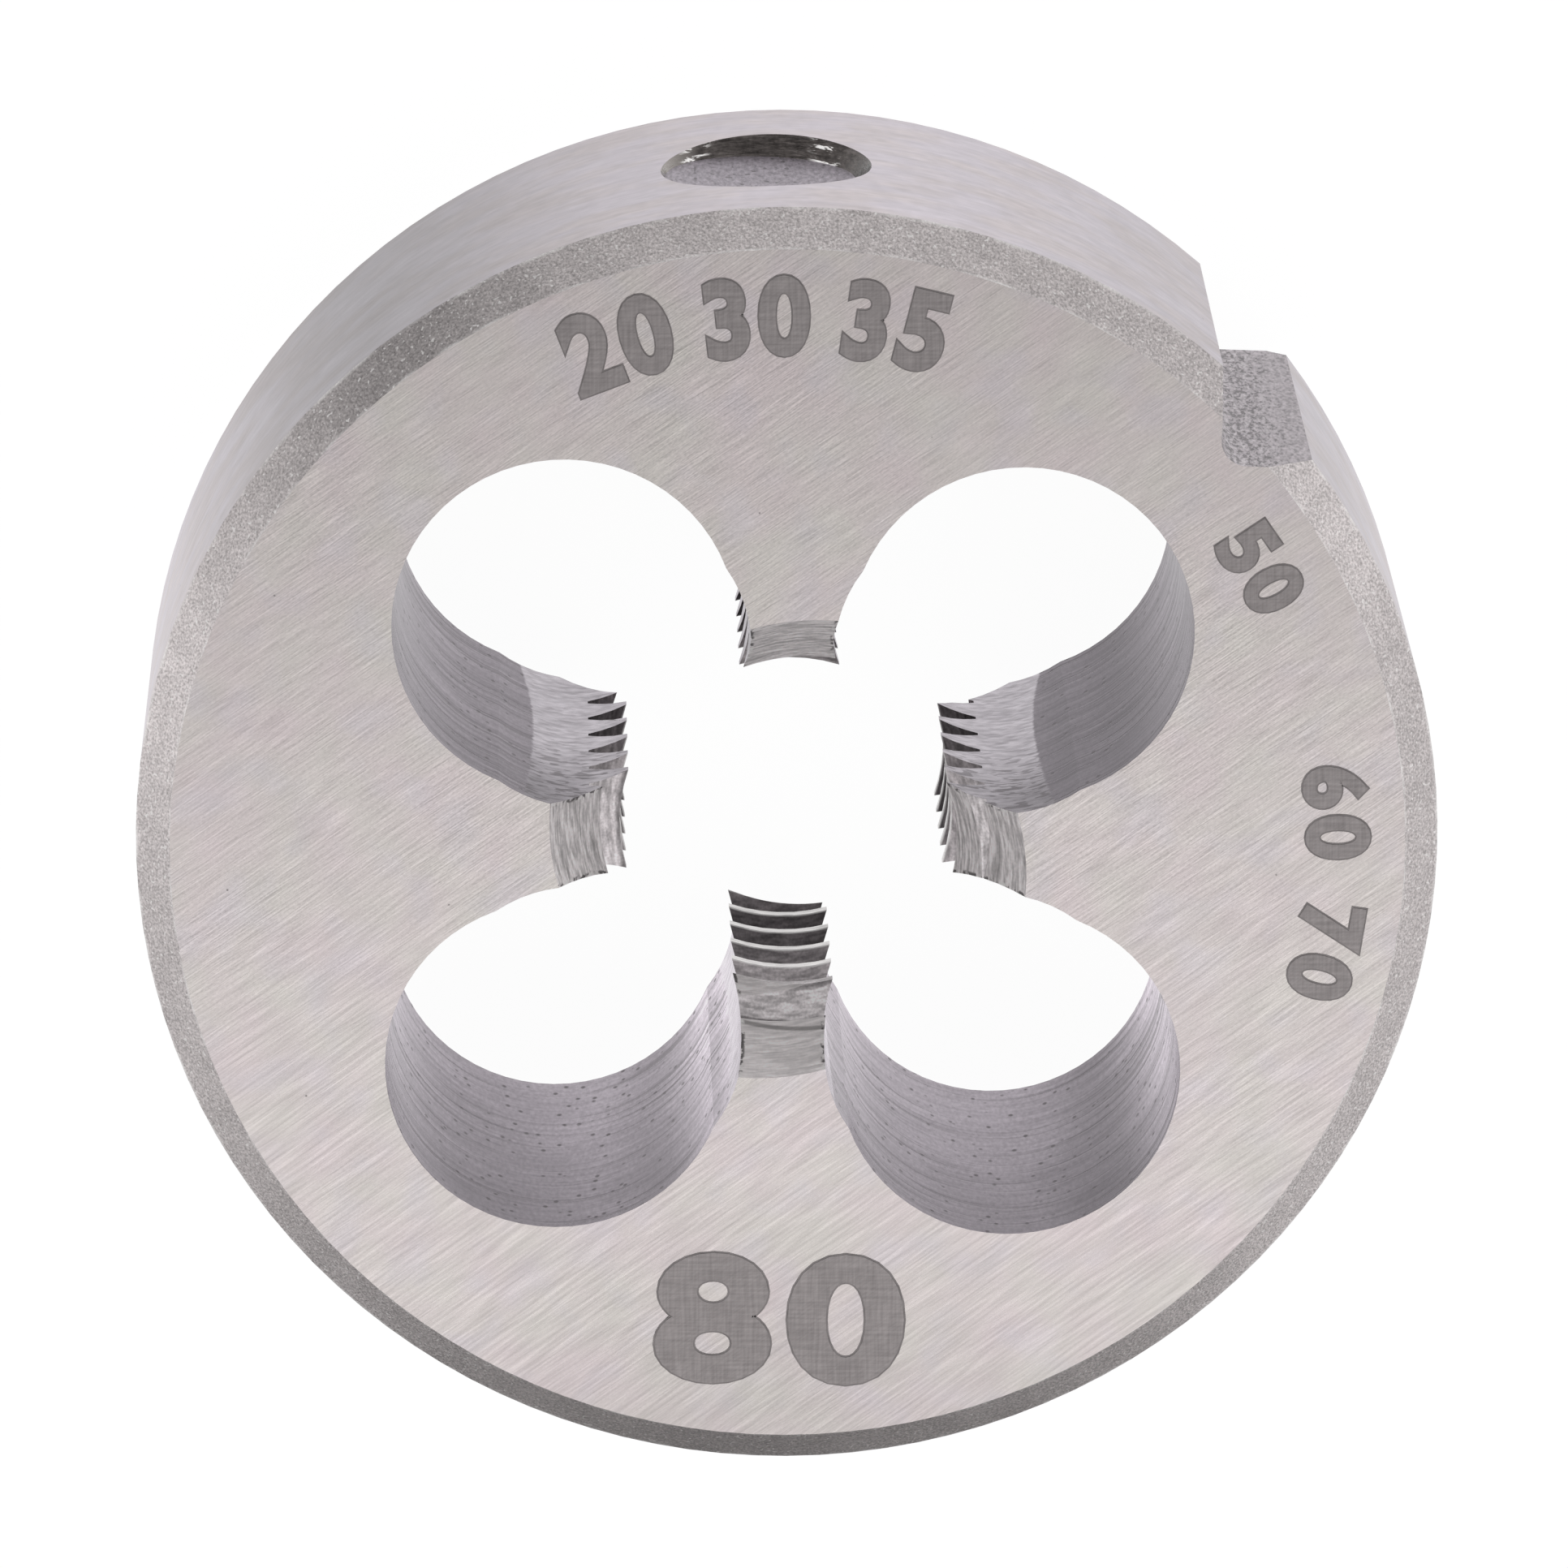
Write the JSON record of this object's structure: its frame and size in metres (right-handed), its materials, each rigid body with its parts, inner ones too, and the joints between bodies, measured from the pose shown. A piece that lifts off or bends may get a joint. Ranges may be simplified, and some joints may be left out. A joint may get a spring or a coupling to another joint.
{
  "type": "round threading die",
  "caption": "Round die with cutting lands around a threaded bore, chip openings between them, a rim notch and screw dimples; cuts external threads in a die stock.",
  "frame": {"origin": "centre of the back face, on the axis of the bore", "axes": "+Z along the bore axis, out of the front (lead) face; +Y towards the land next to the visible screw dimple; the rim notch is between +X and +Y"},
  "size_m": [0.03, 0.03, 0.011],
  "materials": {
    "die_body": "ground"
  },
  "bodies": {
    "root": {"die_body": "die_body"}
  },
  "joints": []
}
